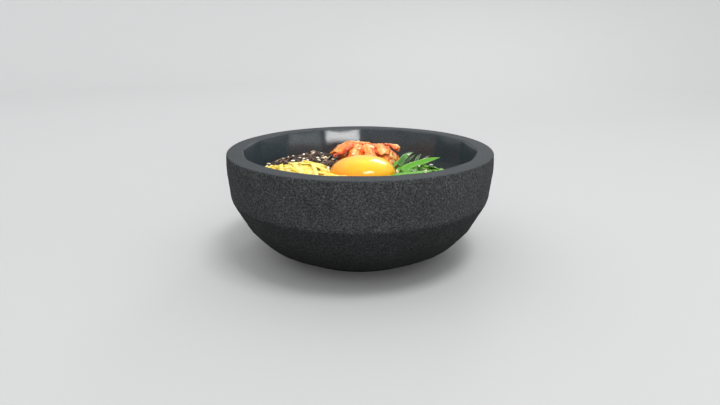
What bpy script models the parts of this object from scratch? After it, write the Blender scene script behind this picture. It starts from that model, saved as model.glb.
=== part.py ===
"""Bibimbap in a turned stone bowl: rice, a raw egg yolk and four heaps of toppings.

Metres, +Z up. The origin is the centre of the bowl's flat foot, and -Y is the side that the
diner faces. The toppings lie round the yolk as sectors of a ring, so each one is given by two
angles about the yolk, counted anticlockwise from +X, and by how far it reaches from the bowl's
axis. Everything rests on the rice with a hairline gap.
"""

import math

import bmesh
import bpy
from mathutils import Vector, noise

MM = 0.001
HAIRLINE = 0.3 * MM

# Stone bowl. Each corner of a wall is (radius, drop below the rim, fillet radius).
BOWL_HEIGHT = 69 * MM
RIM_RADIUS = 85 * MM
RIM_WIDTH = 10.3 * MM
FLOOR_DROP = 58.5 * MM
BOWL_SEGMENTS = 56
INNER_WALL = (
    (0.0, FLOOR_DROP, 0.0),
    (40 * MM, FLOOR_DROP, 26 * MM),
    (62 * MM, 44 * MM, 24 * MM),
    (71.5 * MM, 18 * MM, 30 * MM),
    (RIM_RADIUS - RIM_WIDTH, 0.0, 1.4 * MM),
)
OUTER_WALL = (
    (RIM_RADIUS, 0.0, 0.9 * MM),
    (85.5 * MM, 8.5 * MM, 60 * MM),
    (83.7 * MM, 28.8 * MM, 14 * MM),
    (74.3 * MM, 46.7 * MM, 40 * MM),
    (64.6 * MM, 57.8 * MM, 24 * MM),
    (43.6 * MM, BOWL_HEIGHT, 4 * MM),
    (0.0, BOWL_HEIGHT, 0.0),
)
FILLET_STEP = math.radians(24)

# Rice bed
RICE_TOP = BOWL_HEIGHT - 24.5 * MM
RICE_WALL_GAP = 0.5 * MM
RICE_RELIEF = 1.6 * MM
RICE_SEGMENTS = 40
RICE_RINGS = 6
BED = RICE_TOP + HAIRLINE

# Egg yolk
YOLK_CENTRE = Vector((1.8 * MM, -6 * MM))
YOLK_RADIUS = 21.4 * MM
YOLK_RISE = 11.1 * MM
YOLK_SINK = 8.3 * MM
NEST_RADIUS = YOLK_RADIUS + 0.8 * MM

# Heaps: angles about the yolk, reach from the bowl's axis at the first angle, midway and at the
# last, heights above the bed at the inner and the outer edge, and of the crest at the three
# angles, the share of the way out at which its ridge runs, how steeply the dome's two ends fall
# and how flat its crest is, and the size and spacing of its lumps.
HEAPS = {
    "kimchi_heap": {
        "angles": (45, 119.6),
        "reach": (36, 52, 46),
        "edges": (7.0, 5.5),
        "crest": (16.4, 16.4, 16.4),
        "ridge": 0.5,
        "ends": 3.0,
        "flatness": 2.4,
        "lump": 1.5,
        "grain": 9,
        "cells": (9, 14),
    },
    "seasoned_beef": {
        "angles": (122.5, 167.5),
        "reach": (61, 66, 66),
        "edges": (7.6, 7.0),
        "crest": (14.9, 12.8, 14.0),
        "ridge": 0.34,
        "ends": 6.0,
        "flatness": 3.4,
        "lump": 1.3,
        "grain": 8,
        "cells": (10, 13),
    },
    "omelette_strips": {
        "angles": (169, 264),
        "reach": (65, 67, 62),
        "edges": (8.9, 9.6),
        "crest": (16.0, 12.4, 11.0),
        "ridge": 0.33,
        "ends": 9.0,
        "flatness": 2.1,
        "lump": 1.0,
        "grain": 12,
        "cells": (10, 15),
    },
    "greens": {
        "angles": (292, 398),
        "reach": (62, 66, 54),
        "edges": (3.0, 3.0),
        "crest": (9.4, 9.4, 9.4),
        "ridge": 0.5,
        "ends": 3.5,
        "flatness": 2.6,
        "lump": 1.2,
        "grain": 10,
        "cells": (9, 15),
    },
}
OUTLINE_WAVER = 1.6 * MM

# Kimchi leaves folded over the heap: centre x, y, length, width, turn in degrees, thickness, and
# how much narrower the far end is.
KIMCHI_LEAVES = (
    (-13.0, 27.0, 18.5, 12, 52, 3.4, 0.0),
    (-3.0, 23.0, 16, 8.5, 75, 4.0, 0.0),
    (6.5, 23.0, 16, 8.5, 100, 3.8, 0.0),
    (3.0, 39.0, 27, 11, 2, 3.4, 0.2),
    (15.2, 23.6, 15, 8.4, 108, 4.0, 0.0),
    (18.1, 12.0, 9, 5.8, 124, 3.0, 0.3),
)
LEAF_FACET = 1.8 * MM

# The strips that lie straight are given by foot point, tip point, width, sag (+) or arch (-) at
# the middle and roll about their length in degrees, all lengths in mm and heights as drops below
# the rim. One is the kimchi leaf whose tip sticks out, the others are the green blades.
KIMCHI_TIP = ((17.2, 32.0, 5.6), (27.2, 27.0, 8.0), 7.0, -0.6, -22)
KIMCHI_TIP_THICKNESS = 2.2 * MM

BLADES = (
    ((28.5, 4, 8.9), (35.7, 18, 7.0), 5.6, -0.4, 24),
    ((22.8, 8.8, 15.0), (27.6, 14.6, 12.2), 4.6, -0.4, 10),
    ((24.8, 2.2, 14.8), (39.0, 21.5, 9.7), 2.8, 0.3, 20),
    ((25.5, -4, 13.9), (39.5, 7, 11.0), 3.4, -0.4, 20),
    ((32.0, -9, 10.6), (53.6, 8, 7.9), 6.2, 0.8, 32),
    ((24.0, -19, 13.6), (51.4, -14, 12.1), 4.4, 0.4, 18),
    ((38.6, 14, 11.9), (43.4, 28, 10.2), 2.6, 0.2, 30),
    ((42.2, 9, 11.2), (48.2, 20, 9.8), 2.6, 0.2, 20),
)
BLADE_THICKNESS = 1.3 * MM
BLADE_CUTS = 7
TIP_SHARE = 0.28
FOLD_DEPTH = 0.12

COLLECTION = "stone_bowl_bibimbap"
COLOURS = {
    "charcoal_stone": ((0.038, 0.040, 0.042), 0.72),
    "steamed_rice": ((0.82, 0.78, 0.66), 0.45),
    "raw_yolk": ((0.95, 0.44, 0.02), 0.18),
    "omelette": ((0.93, 0.74, 0.18), 0.45),
    "seasoned_beef": ((0.085, 0.045, 0.030), 0.40),
    "kimchi": ((0.82, 0.17, 0.045), 0.30),
    "greens": ((0.13, 0.36, 0.03), 0.35),
}


def clear_scene():
    for obj in list(bpy.data.objects):
        bpy.data.objects.remove(obj, do_unlink=True)


def material(name):
    """A Principled BSDF with the sub-part's own colour and gloss."""
    made = bpy.data.materials.get(name)
    if made is None:
        colour, roughness = COLOURS[name]
        made = bpy.data.materials.new(name)
        made.use_nodes = True
        shader = made.node_tree.nodes["Principled BSDF"]
        shader.inputs["Base Color"].default_value = (*colour, 1.0)
        shader.inputs["Roughness"].default_value = roughness
        shader.inputs["Metallic"].default_value = 0.0
    return made


def add_object(name, mesh, finish):
    obj = bpy.data.objects.new(name, mesh)
    obj.data.materials.append(material(finish))
    bpy.data.collections[COLLECTION].objects.link(obj)
    return obj


def rounded(corners):
    """Points (radius, height) along a wall, with an arc of the given radius at each corner."""
    flat = [Vector((radius, BOWL_HEIGHT - drop)) for radius, drop, _ in corners]
    points = [flat[0]]
    for before, corner, after, (_, _, fillet) in zip(flat, flat[1:], flat[2:], corners[1:]):
        into = (corner - before).normalized()
        out_of = (after - corner).normalized()
        turn = into.angle(out_of)
        side = math.copysign(1, into.x * out_of.y - into.y * out_of.x)
        reach = fillet * math.tan(turn / 2)
        centre = corner - into * reach + Vector((-into.y, into.x)) * side * fillet
        arm = corner - into * reach - centre
        steps = max(1, math.ceil(turn / FILLET_STEP))
        for step in range(steps + 1):
            angle = side * turn * step / steps
            cos, sin = math.cos(angle), math.sin(angle)
            points.append(centre + Vector((arm.x * cos - arm.y * sin, arm.x * sin + arm.y * cos)))
    points.append(flat[-1])
    return points


def turned(name, profile, segments, finish):
    """A solid of revolution from a profile that starts and ends on the axis."""
    mesh = bpy.data.meshes.new(name)
    vertices = [(point.x, 0, point.y) for point in profile]
    edges = [(i, i + 1) for i in range(len(profile) - 1)]
    mesh.from_pydata(vertices, edges, [])
    obj = add_object(name, mesh, finish)
    screw = obj.modifiers.new("turn", "SCREW")
    screw.angle = math.tau
    screw.steps = screw.render_steps = segments
    screw.use_merge_vertices = True
    screw.merge_threshold = 0.00001
    screw.use_smooth_shade = True
    return obj


def settled_mesh(obj):
    """Replaces an object's mesh with its evaluated one, so that its vertices can be moved."""
    graph = bpy.context.evaluated_depsgraph_get()
    mesh = bpy.data.meshes.new_from_object(obj.evaluated_get(graph))
    obj.modifiers.clear()
    obj.data = mesh
    return mesh


def relief(x, y, grain, seed):
    """Smooth noise of about -1 to 1 over the plan."""
    return noise.noise(Vector((x / grain, y / grain, seed)))


def stone_bowl():
    """Turned from the middle of the inner floor, up the wall, over the rim and down to the foot."""
    return turned("stone_bowl", rounded(INNER_WALL + OUTER_WALL), BOWL_SEGMENTS, "charcoal_stone")


def rice_bed():
    """Fills the bowl's hollow up to RICE_TOP, and dips here and there below it."""
    hollow = rounded(INNER_WALL)
    covered = [point for point in hollow if point.y < RICE_TOP - RICE_WALL_GAP]
    below, above = covered[-1], hollow[len(covered)]
    edge = below.lerp(above, (RICE_TOP - below.y) / (above.y - below.y))
    edge_radius = edge.x - 1.5 * RICE_WALL_GAP
    wall = [Vector((max(p.x - RICE_WALL_GAP, 0), p.y + RICE_WALL_GAP)) for p in covered]
    top = [
        Vector((edge_radius * (1 - ring / RICE_RINGS), RICE_TOP)) for ring in range(RICE_RINGS + 1)
    ]
    profile = list(reversed(wall + top))
    obj = turned("rice_bed", profile, RICE_SEGMENTS, "steamed_rice")
    mesh = settled_mesh(obj)
    for vertex in mesh.vertices:
        if vertex.co.z > RICE_TOP - HAIRLINE:
            dip = 0.5 + 0.5 * relief(vertex.co.x, vertex.co.y, 14 * MM, 3.0)
            vertex.co.z -= RICE_RELIEF * min(max(dip, 0), 1)
    return obj


def egg_yolk():
    """A raw yolk that settles under its own weight: a low dome over a shallower underside."""
    shape = bmesh.new()
    bmesh.ops.create_uvsphere(shape, u_segments=26, v_segments=14, radius=1)
    equator = BED + YOLK_SINK
    for vertex in shape.verts:
        x, y, z = vertex.co
        tall = YOLK_RISE if z > 0 else YOLK_SINK
        vertex.co = (
            YOLK_CENTRE.x + YOLK_RADIUS * x,
            YOLK_CENTRE.y + YOLK_RADIUS * y,
            equator + tall * z,
        )
    mesh = bpy.data.meshes.new("egg_yolk")
    shape.to_mesh(mesh)
    shape.free()
    mesh.shade_smooth()
    return add_object("egg_yolk", mesh, "raw_yolk")


def shaped_block(name, cells, place, finish):
    """A unit block cut into cells along its length and width, with each vertex moved by place(u, v, w)."""
    shape = bmesh.new()
    bmesh.ops.create_cube(shape, size=1)
    for axis, count in enumerate(cells):
        along = [
            edge
            for edge in shape.edges
            if abs(edge.verts[0].co[axis] - edge.verts[1].co[axis]) > 0.5
        ]
        bmesh.ops.subdivide_edges(shape, edges=along, cuts=count - 1, use_grid_fill=True)
    for vertex in shape.verts:
        u, v, w = vertex.co + Vector((0.5, 0.5, 0.5))
        vertex.co = place(u, v, w)
    mesh = bpy.data.meshes.new(name)
    shape.to_mesh(mesh)
    shape.free()
    mesh.shade_smooth()
    mesh.set_sharp_from_angle(angle=math.radians(40))
    return add_object(name, mesh, finish)


def between(start, middle, end, share):
    """The parabola through three values at 0, a half and 1."""
    left = start * (1 - share) * (1 - 2 * share)
    right = end * share * (2 * share - 1)
    return left + middle * 4 * share * (1 - share) + right


def heap_plan(heap, u, v):
    """The point (x, y) at share u of the heap's angle and share v of its way out to its edge."""
    first, last = (math.radians(angle) for angle in heap["angles"])
    angle = first + (last - first) * u
    way = Vector((math.cos(angle), math.sin(angle)))
    reach = between(*heap["reach"], u) * MM
    corner = abs(2 * u - 1) ** 8
    reach += OUTLINE_WAVER * relief(way.x, way.y, 0.23, heap["crest"][0]) - 4 * MM * corner
    toward = YOLK_CENTRE.dot(way)
    outer = -toward + math.sqrt(toward**2 - YOLK_CENTRE.length_squared + reach**2)
    return YOLK_CENTRE + way * (NEST_RADIUS + (outer - NEST_RADIUS) * v)


def heap_height(heap, u, v):
    """The height of the heap's surface above the bed."""
    inner, outer = heap["edges"]
    edge = inner + (outer - inner) * v
    crest = between(*heap["crest"], u)
    across = 2 * v ** (math.log(0.5) / math.log(heap["ridge"])) - 1
    dome = (1 - abs(2 * u - 1) ** (2 * heap["ends"])) * (1 - abs(across) ** heap["flatness"])
    x, y = heap_plan(heap, u, v)
    lump = heap["lump"] * relief(x, y, heap["grain"] * MM, heap["crest"][0])
    return (edge + (crest - edge) * dome + lump * (0.3 + 0.7 * dome)) * MM


def heap_solid(name, finish):
    heap = HEAPS[name]

    def place(v, u, w):
        x, y = heap_plan(heap, u, v)
        return Vector((x, y, BED + heap_height(heap, u, v) * w))

    return shaped_block(name, heap["cells"], place, finish)


def heap_top(heap, x, y):
    """The height of a heap's surface at the point of its plan that lies nearest to x, y."""
    arm = Vector((x, y)) - YOLK_CENTRE
    first, last = (math.radians(angle) for angle in heap["angles"])
    u = min(max((math.atan2(arm.y, arm.x) - first) / (last - first), 0), 1)
    near = (heap_plan(heap, u, 0) - YOLK_CENTRE).length
    far = (heap_plan(heap, u, 1) - YOLK_CENTRE).length
    v = min(max((arm.length - near) / (far - near), 0), 1)
    return BED + heap_height(heap, u, v)


def resting_height(x, y):
    """What a kimchi leaf's facet rests on: the highest point near it of the kimchi and the beef."""
    nudges = ((0, 0), (LEAF_FACET, 0), (-LEAF_FACET, 0), (0, LEAF_FACET), (0, -LEAF_FACET))
    heaps = (HEAPS["kimchi_heap"], HEAPS["seasoned_beef"])
    return max(heap_top(heap, x + dx, y + dy) for heap in heaps for dx, dy in nudges)


def kimchi_leaf(index, leaf):
    """One folded leaf: a cushion-shaped slab draped over the kimchi and the edge of the beef."""
    x, y, length, width, turn, thickness, taper = leaf
    along = Vector((math.cos(math.radians(turn)), math.sin(math.radians(turn))))
    across = Vector((-along.y, along.x))
    centre = Vector((x, y)) * MM

    def place(u, v, w):
        a, b = 2 * u - 1, 2 * v - 1
        a, b = a * math.sqrt(1 - b * b / 2), b * math.sqrt(1 - a * a / 2)
        half_width = width / 2 * (1 - taper * (a + 1) / 2)
        spot = centre + along * a * length / 2 * MM + across * b * half_width * MM
        crown = 1 - (a * a + b * b) ** 2
        ribs = 0.12 * math.cos(3 * math.pi * b) * crown
        low = resting_height(*spot) + HAIRLINE + 0.1 * thickness * (1 - crown) * MM
        return Vector((spot.x, spot.y, low + thickness * (0.25 + 0.75 * crown + ribs) * w * MM))

    return shaped_block(f"kimchi_leaf_{index}", (6, 5), place, "kimchi")


def strip(name, shape, thickness, finish):
    """One cut leaf, folded slightly along its midrib and narrowing to its tip."""
    foot, tip, width, sag, roll = shape
    start = Vector((foot[0] * MM, foot[1] * MM, BOWL_HEIGHT - foot[2] * MM))
    end = Vector((tip[0] * MM, tip[1] * MM, BOWL_HEIGHT - tip[2] * MM))
    along = (end - start).normalized()
    level = Vector((0, 0, 1)).cross(along).normalized()
    lift = along.cross(level)
    cos, sin = math.cos(math.radians(roll)), math.sin(math.radians(roll))
    across, up = level * cos + lift * sin, lift * cos - level * sin

    def place(u, v, w):
        spine = start.lerp(end, u) - up * sag * MM * 4 * u * (1 - u)
        tip_width = min(1, (1 - u) / TIP_SHARE + 0.12)
        side = (2 * v - 1) * width / 2 * MM * min(tip_width, 0.62 + 1.6 * u)
        fold = abs(2 * v - 1) * FOLD_DEPTH * width * MM * min(tip_width, 1)
        return spine + across * side + up * (fold + (w - 0.5) * thickness)

    return shaped_block(name, (BLADE_CUTS, 4), place, finish)


def build():
    clear_scene()
    collection = bpy.data.collections.new(COLLECTION)
    bpy.context.scene.collection.children.link(collection)
    stone_bowl()
    rice_bed()
    egg_yolk()
    heap_solid("kimchi_heap", "kimchi")
    heap_solid("seasoned_beef", "seasoned_beef")
    heap_solid("omelette_strips", "omelette")
    heap_solid("greens", "greens")
    for index, leaf in enumerate(KIMCHI_LEAVES, start=1):
        kimchi_leaf(index, leaf)
    strip("kimchi_tip", KIMCHI_TIP, KIMCHI_TIP_THICKNESS, "kimchi")
    for index, blade in enumerate(BLADES, start=1):
        strip(f"green_blade_{index}", blade, BLADE_THICKNESS, "greens")


build()
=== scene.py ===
"""The looks of bibimbap in a stone bowl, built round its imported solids.

Metres, +Z up, the diner at -Y. Each heap is made of its real things over a smaller core: a path is
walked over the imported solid's surface for each of them, and a template is bent along that path.
"""

import itertools
import math
from functools import partial

import bmesh
import bpy
import numpy as np
from mathutils import Matrix, Vector, noise
from mathutils.bvhtree import BVHTree


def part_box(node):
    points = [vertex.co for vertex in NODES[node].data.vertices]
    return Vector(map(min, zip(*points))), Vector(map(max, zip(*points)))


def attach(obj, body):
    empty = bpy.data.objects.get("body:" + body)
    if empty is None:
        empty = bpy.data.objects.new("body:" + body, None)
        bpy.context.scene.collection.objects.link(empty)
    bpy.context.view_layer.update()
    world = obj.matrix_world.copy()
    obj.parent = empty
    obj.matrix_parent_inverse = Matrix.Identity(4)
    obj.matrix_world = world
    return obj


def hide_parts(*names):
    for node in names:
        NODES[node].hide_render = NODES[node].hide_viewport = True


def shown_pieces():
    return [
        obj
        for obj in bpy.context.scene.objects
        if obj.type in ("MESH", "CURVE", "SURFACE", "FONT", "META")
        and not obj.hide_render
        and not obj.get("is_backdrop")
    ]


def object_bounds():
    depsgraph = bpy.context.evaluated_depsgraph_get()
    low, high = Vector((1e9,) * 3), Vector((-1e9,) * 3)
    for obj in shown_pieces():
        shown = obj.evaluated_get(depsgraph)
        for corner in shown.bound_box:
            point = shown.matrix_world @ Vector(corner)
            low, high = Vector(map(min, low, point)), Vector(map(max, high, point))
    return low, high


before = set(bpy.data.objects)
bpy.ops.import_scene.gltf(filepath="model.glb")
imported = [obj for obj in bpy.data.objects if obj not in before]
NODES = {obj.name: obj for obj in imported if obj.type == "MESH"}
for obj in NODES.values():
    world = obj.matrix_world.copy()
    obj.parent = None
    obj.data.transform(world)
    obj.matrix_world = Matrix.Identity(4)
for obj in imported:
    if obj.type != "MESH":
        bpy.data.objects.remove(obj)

MM = 0.001
CAD_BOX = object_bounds()

# Stone bowl. Each corner of a wall is (radius, drop below the rim, fillet radius).
BOWL_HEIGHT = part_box("stone_bowl")[1].z
RIM_RADIUS = 85 * MM
RIM_WIDTH = 10.3 * MM
FLOOR_DROP = 58.5 * MM
INNER_WALL = (
    (0.0, FLOOR_DROP, 0.0),
    (40 * MM, FLOOR_DROP, 26 * MM),
    (62 * MM, 44 * MM, 24 * MM),
    (71.5 * MM, 18 * MM, 30 * MM),
    (RIM_RADIUS - RIM_WIDTH, 0.0, 1.4 * MM),
)
OUTER_WALL = (
    (RIM_RADIUS, 0.0, 0.9 * MM),
    (85.5 * MM, 8.5 * MM, 60 * MM),
    (83.7 * MM, 28.8 * MM, 14 * MM),
    (74.3 * MM, 46.7 * MM, 6 * MM),
    (64.6 * MM, 57.8 * MM, 24 * MM),
    (43.6 * MM, BOWL_HEIGHT, 4 * MM),
    (0.0, BOWL_HEIGHT, 0.0),
)
FILLET_STEP = math.radians(4)
BOWL_SEGMENTS = 500
INNER_SPACING = 2.2 * MM
OUTER_SPACING = 0.95 * MM
EDGE_SPACING = 0.5 * MM
PECKING = 0.16 * MM
HAND_WAVER = 0.22 * MM
HONED_WAVER = 0.10 * MM
WALL_SLACK = 0.6 * MM

# Where the finish changes below the rim and above the foot, and over what height
RIM_EASE = (1 * MM, 0.7 * MM)
FOOT_EASE = (0.6 * MM, 2 * MM)

# The flats that the inner wall is ground in. A share of 1 is quite flat, and of 0 round.
FLATS = 15
FLAT_SHARE = 0.85
FLAT_SHARE_ON_RIM = 0.45
FLAT_FROM = 4 * MM
FLAT_TO = 38 * MM
FIRST_CORNER = math.radians(16.8)
CORNER_SHARPNESS = 150

# Food
RICE_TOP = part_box("rice_bed")[1].z
GRAIN_TOP = RICE_TOP - 1.2 * MM
GRAIN_DEPTH = 4.2 * MM
GRAIN_SIZE = np.array([6.0, 2.5, 2.15]) * MM
SEED_SIZE = np.array([1.65, 0.98, 0.48]) * MM
# Attribute value that draws each core in the dark end of its material: painted shade for the depth
# seen in the gaps over it
PAINTED_SHADE_MARK = 0.1
YOLK_LOW, YOLK_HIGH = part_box("egg_yolk")
YOLK_RADIUS = (YOLK_HIGH.y - YOLK_LOW.y) / 2
YOLK_SINK = 8.3 * MM
YOLK_CENTRE = Vector(
    ((YOLK_LOW.x + YOLK_HIGH.x) / 2, (YOLK_LOW.y + YOLK_HIGH.y) / 2, YOLK_LOW.z + YOLK_SINK)
)
YOLK_RISE = YOLK_HIGH.z - YOLK_CENTRE.z

# Camera and light
CAMERA_PLACE = (0, -0.3336, 0.1368)
CAMERA_TILT = math.radians(72.4)
LENS = 25.89
AIM = Vector((0, 0, 0.05))
BACKDROP_FLAT = 1.3
BACKDROP_BEND = 0.9
BACKDROP_TOP = 1.4

# A Mix node's sockets for the second colour's share and for the two colours
SHARE, ONE, OTHER = 0, 6, 7
TINY = 1e-12


# ---- small helpers


def srgb(code):
    """A hex colour as linear RGBA."""
    parts = [int(code[start : start + 2], 16) / 255 for start in (0, 2, 4)]
    linear = [part / 12.92 if part <= 0.04045 else ((part + 0.055) / 1.055) ** 2.4 for part in parts]
    return (*linear, 1.0)


def per(size):
    """The scale that makes a texture's features about this many metres apart."""
    return 1 / size


def feed(tree, node, inputs):
    """Gives each input a value, or links another node's output to it."""
    for socket, value in inputs.items():
        if isinstance(value, bpy.types.NodeSocket):
            tree.links.new(value, node.inputs[socket])
        else:
            node.inputs[socket].default_value = value


def add_node(tree, kind, inputs=None, stops=(), out=None, **settings):
    """Adds a node with its settings and links, and returns the named output or else the first."""
    node = tree.nodes.new("ShaderNode" + kind)
    for setting, value in settings.items():
        setattr(node, setting, value)
    feed(tree, node, inputs or {})
    for index, (position, colour) in enumerate(stops):
        points = node.color_ramp.elements
        point = points[index] if index < 2 else points.new(position)
        point.position = position
        point.color = srgb(colour)
    return node.outputs[out] if out else next(output for output in node.outputs if output.enabled)


def new_material(name, depth=(), film=(), **constants):
    """Begins a Principled material. Returns a function that adds its nodes, and one that feeds its
    shader and returns the material. Light may sink into it, given as weight, reach of each colour
    and scale, and a clear film may lie on it, given as weight and roughness. Underscores in a
    constant's name stand for spaces."""
    constants |= zip(("Subsurface_Weight", "Subsurface_Radius", "Subsurface_Scale"), depth)
    constants |= zip(("Coat_Weight", "Coat_Roughness"), film)
    material = bpy.data.materials.new(name)
    material.use_nodes = True
    tree = material.node_tree

    def finish(inputs):
        feed(tree, tree.nodes["Principled BSDF"], inputs)
        return material

    finish({key.replace("_", " "): value for key, value in constants.items()})
    return partial(add_node, tree), finish


def new_object(name, data):
    """Adds an object to the scene."""
    thing = bpy.data.objects.new(name, data)
    bpy.context.scene.collection.objects.link(thing)
    return thing


def new_piece(name, mesh, material, replaced=()):
    """A finished piece of the object, riding on the one body."""
    piece = new_object(name, mesh)
    mesh.materials.append(material)
    mesh.shade_smooth()
    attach(piece, "root")
    if replaced:
        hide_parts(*replaced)


def mesh_from(name, shape):
    mesh = bpy.data.meshes.new(name)
    shape.to_mesh(mesh)
    shape.free()
    return mesh


def outward(shape):
    """The closed shape with its faces turned outward."""
    bmesh.ops.recalc_face_normals(shape, faces=shape.faces)
    return shape


def places(mesh):
    """A mesh's vertices as an array of points."""
    points = np.empty(len(mesh.vertices) * 3, np.float32)
    mesh.vertices.foreach_get("co", points)
    return points.reshape(-1, 3).astype(float)


def put(mesh, points):
    mesh.vertices.foreach_set("co", np.asarray(points, np.float32).ravel())
    mesh.update()


def mark(mesh, name, values):
    """Stores one number for each vertex, for the material to read."""
    layer = mesh.attributes.new(name, "FLOAT", "POINT")
    layer.data.foreach_set("value", np.asarray(values, np.float32).ravel())


def unit(vectors):
    return vectors / np.maximum(np.linalg.norm(vectors, axis=-1, keepdims=True), TINY)


def rough(point, size, seed):
    """Smooth noise of about -1 to 1 with features of this size."""
    return noise.noise(Vector(point) / size + Vector((seed, -seed, 2 * seed)))


def roughen(mesh, amount, size, seed, mask=1.0):
    """Moves each vertex along its normal by smooth noise, less where the mask is low."""
    points = places(mesh)
    normals = np.empty(points.size, np.float32)
    mesh.vertices.foreach_get("normal", normals)
    heights = amount * np.array([rough(point, size, seed) for point in points]) * mask
    put(mesh, points + normals.reshape(-1, 3) * heights[:, None])


# ---- materials


def pecked_stone():
    """Agalmatolite, the dark soft stone of hot stone bowls, as its outside is finished with a pick:
    matt and finely pitted, with pale mineral specks, and painted darker below the shoulder as painted
    shade for the wall that turns down there.
    The pits are drawn about twice as coarse as real ones, to show."""
    add, finish = new_material("pecked_stone", Roughness=0.86, Specular_IOR_Level=0.1)
    where = add("TexCoord", out="Object")
    grain = add("TexNoise", {"Vector": where, "Scale": per(1 * MM), "Detail": 4, "Roughness": 0.75})
    cloud = add("TexNoise", {"Vector": where, "Scale": per(24 * MM), "Detail": 3})
    speck = add("TexNoise", {"Vector": where, "Scale": per(0.55 * MM), "Detail": 1})
    greys = [(0.33, "1A1B1C"), (0.50, "363839"), (0.62, "4C4E4F"), (0.72, "6E6F6F")]
    grey = add("ValToRGB", {"Fac": grain}, greys)
    pale = add("MapRange", {"Value": speck, "From Min": 0.66, "From Max": 0.74, "To Max": 0.5})
    specked = add("Mix", {SHARE: pale, ONE: grey, OTHER: srgb("7C7B76")}, data_type="RGBA")
    height = add("SeparateXYZ", {"Vector": where}, out="Z")
    # Painted shade: the stone is drawn darker below the shoulder and darkest near the foot, where the
    # wall faces down
    rise = add("MapRange", {"Value": height, "From Min": 8 * MM, "From Max": 42 * MM})
    underside_shade_stops = [(0, "7C7C7C"), (0.30, "8E8E8E"), (0.62, "B2B2B2"), (0.93, "BEBEBE"), (1, "FFFFFF")]
    painted_underside_shade = add("ValToRGB", {"Fac": rise}, underside_shade_stops)
    uneven = {"Value": cloud, "From Min": 0.3, "From Max": 0.7, "To Min": 0.86, "To Max": 1.12}
    shade = add("Math", {0: painted_underside_shade, 1: add("MapRange", uneven)}, operation="MULTIPLY")
    shaded = {SHARE: 1, ONE: specked, OTHER: shade}
    final = add("Mix", shaded, data_type="RGBA", blend_type="MULTIPLY")
    bump = add("Bump", {"Distance": 0.5 * MM, "Height": grain})
    return finish({"Base Color": final, "Normal": bump})


def honed_stone():
    """The same stone ground flat on the rim, grey and dull, and honed and oiled inside, where it is
    darker and blurs what it reflects."""
    oiled = {"Coat_Roughness": 0.22, "Coat_IOR": 1.55}
    add, finish = new_material("honed_stone", Specular_IOR_Level=0.15, **oiled)
    where = add("TexCoord", out="Object")
    oil = add("Attribute", attribute_name="oil", out="Fac")
    grain = add("TexNoise", {"Vector": where, "Scale": per(1 * MM), "Detail": 4, "Roughness": 0.7})
    cloud = add("TexNoise", {"Vector": where, "Scale": per(16 * MM), "Detail": 3})
    dull = add("ValToRGB", {"Fac": grain}, [(0.35, "35383A"), (0.55, "424649"), (0.70, "4E5254")])
    dark = add("ValToRGB", {"Fac": grain}, [(0.35, "1C262B"), (0.55, "28343B"), (0.70, "37454E")])
    final = add("Mix", {SHARE: oil, ONE: dull, OTHER: dark}, data_type="RGBA")
    gloss = add("MapRange", {"Value": oil, "To Min": 0.70, "To Max": 0.36})
    uneven = add("Math", {0: cloud, 1: 0.16, 2: gloss}, operation="MULTIPLY_ADD")
    bump = add("Bump", {"Strength": 0.12, "Distance": 0.5 * MM, "Height": grain})
    return finish({"Base Color": final, "Coat Weight": oil, "Roughness": uneven, "Normal": bump})


def steamed_rice():
    """Short-grain rice, steamed: a white starch that light sinks into, with a moist skin."""
    depth = (0.35, (1.0, 0.85, 0.6), 1.2 * MM)
    add, finish = new_material("steamed_rice", depth, (0.25, 0.2), Roughness=0.34, IOR=1.45)
    where = add("TexCoord", out="Object")
    tint = add("Attribute", attribute_name="tint", out="Fac")
    mottle = add("TexNoise", {"Vector": where, "Scale": per(1.5 * MM), "Detail": 2})
    mixed = add("Math", {0: mottle, 1: 0.35, 2: tint}, operation="MULTIPLY_ADD")
    white = add("ValToRGB", {"Fac": mixed}, [(0, "F0E9D6"), (0.5, "FAF6EA"), (1, "FFFEF8")])
    bump = add("Bump", {"Strength": 0.4, "Distance": 0.15 * MM, "Height": mottle})
    return finish({"Base Color": white, "Normal": bump})


def raw_yolk():
    """Raw egg yolk: a deep orange-yellow fluid in a clear wet skin, painted paler towards the top and
    the right as painted light from the lamps above on the right."""
    depth = (0.4, (1.0, 0.42, 0.03), 3 * MM)
    wet_skin = {"film": (0.9, 0.03), "Coat_IOR": 1.45}
    add, finish = new_material("raw_yolk", depth, Roughness=0.3, Specular_IOR_Level=0.05, **wet_skin)
    where = add("TexCoord", out="Object")
    # Painted light: the yellow grows paler along this slanted way, towards the top and the right,
    # where the lamps fall on the yolk
    painted_light_way = Vector((0.2, 0, 1))
    height = add("VectorMath", {0: where, 1: painted_light_way}, operation="DOT_PRODUCT", out="Value")
    low = painted_light_way.dot(YOLK_CENTRE)
    mottle = add("TexNoise", {"Vector": where, "Scale": per(9 * MM), "Detail": 4, "Roughness": 0.6})
    span = {"Value": height, "From Min": low, "From Max": low + YOLK_RISE, "To Max": 0.7}
    painted_light_share = add("MapRange", span)
    mixed = add("Math", {0: mottle, 1: 0.4, 2: painted_light_share}, operation="MULTIPLY_ADD")
    yellows = [(0, "EC8800"), (0.35, "F7A200"), (0.75, "FCBE00"), (1, "FDCE00")]
    yellow = add("ValToRGB", {"Fac": mixed}, yellows)
    bump = add("Bump", {"Strength": 0.12, "Distance": 0.3 * MM, "Height": mottle})
    return finish({"Base Color": yellow, "Normal": bump})


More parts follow.
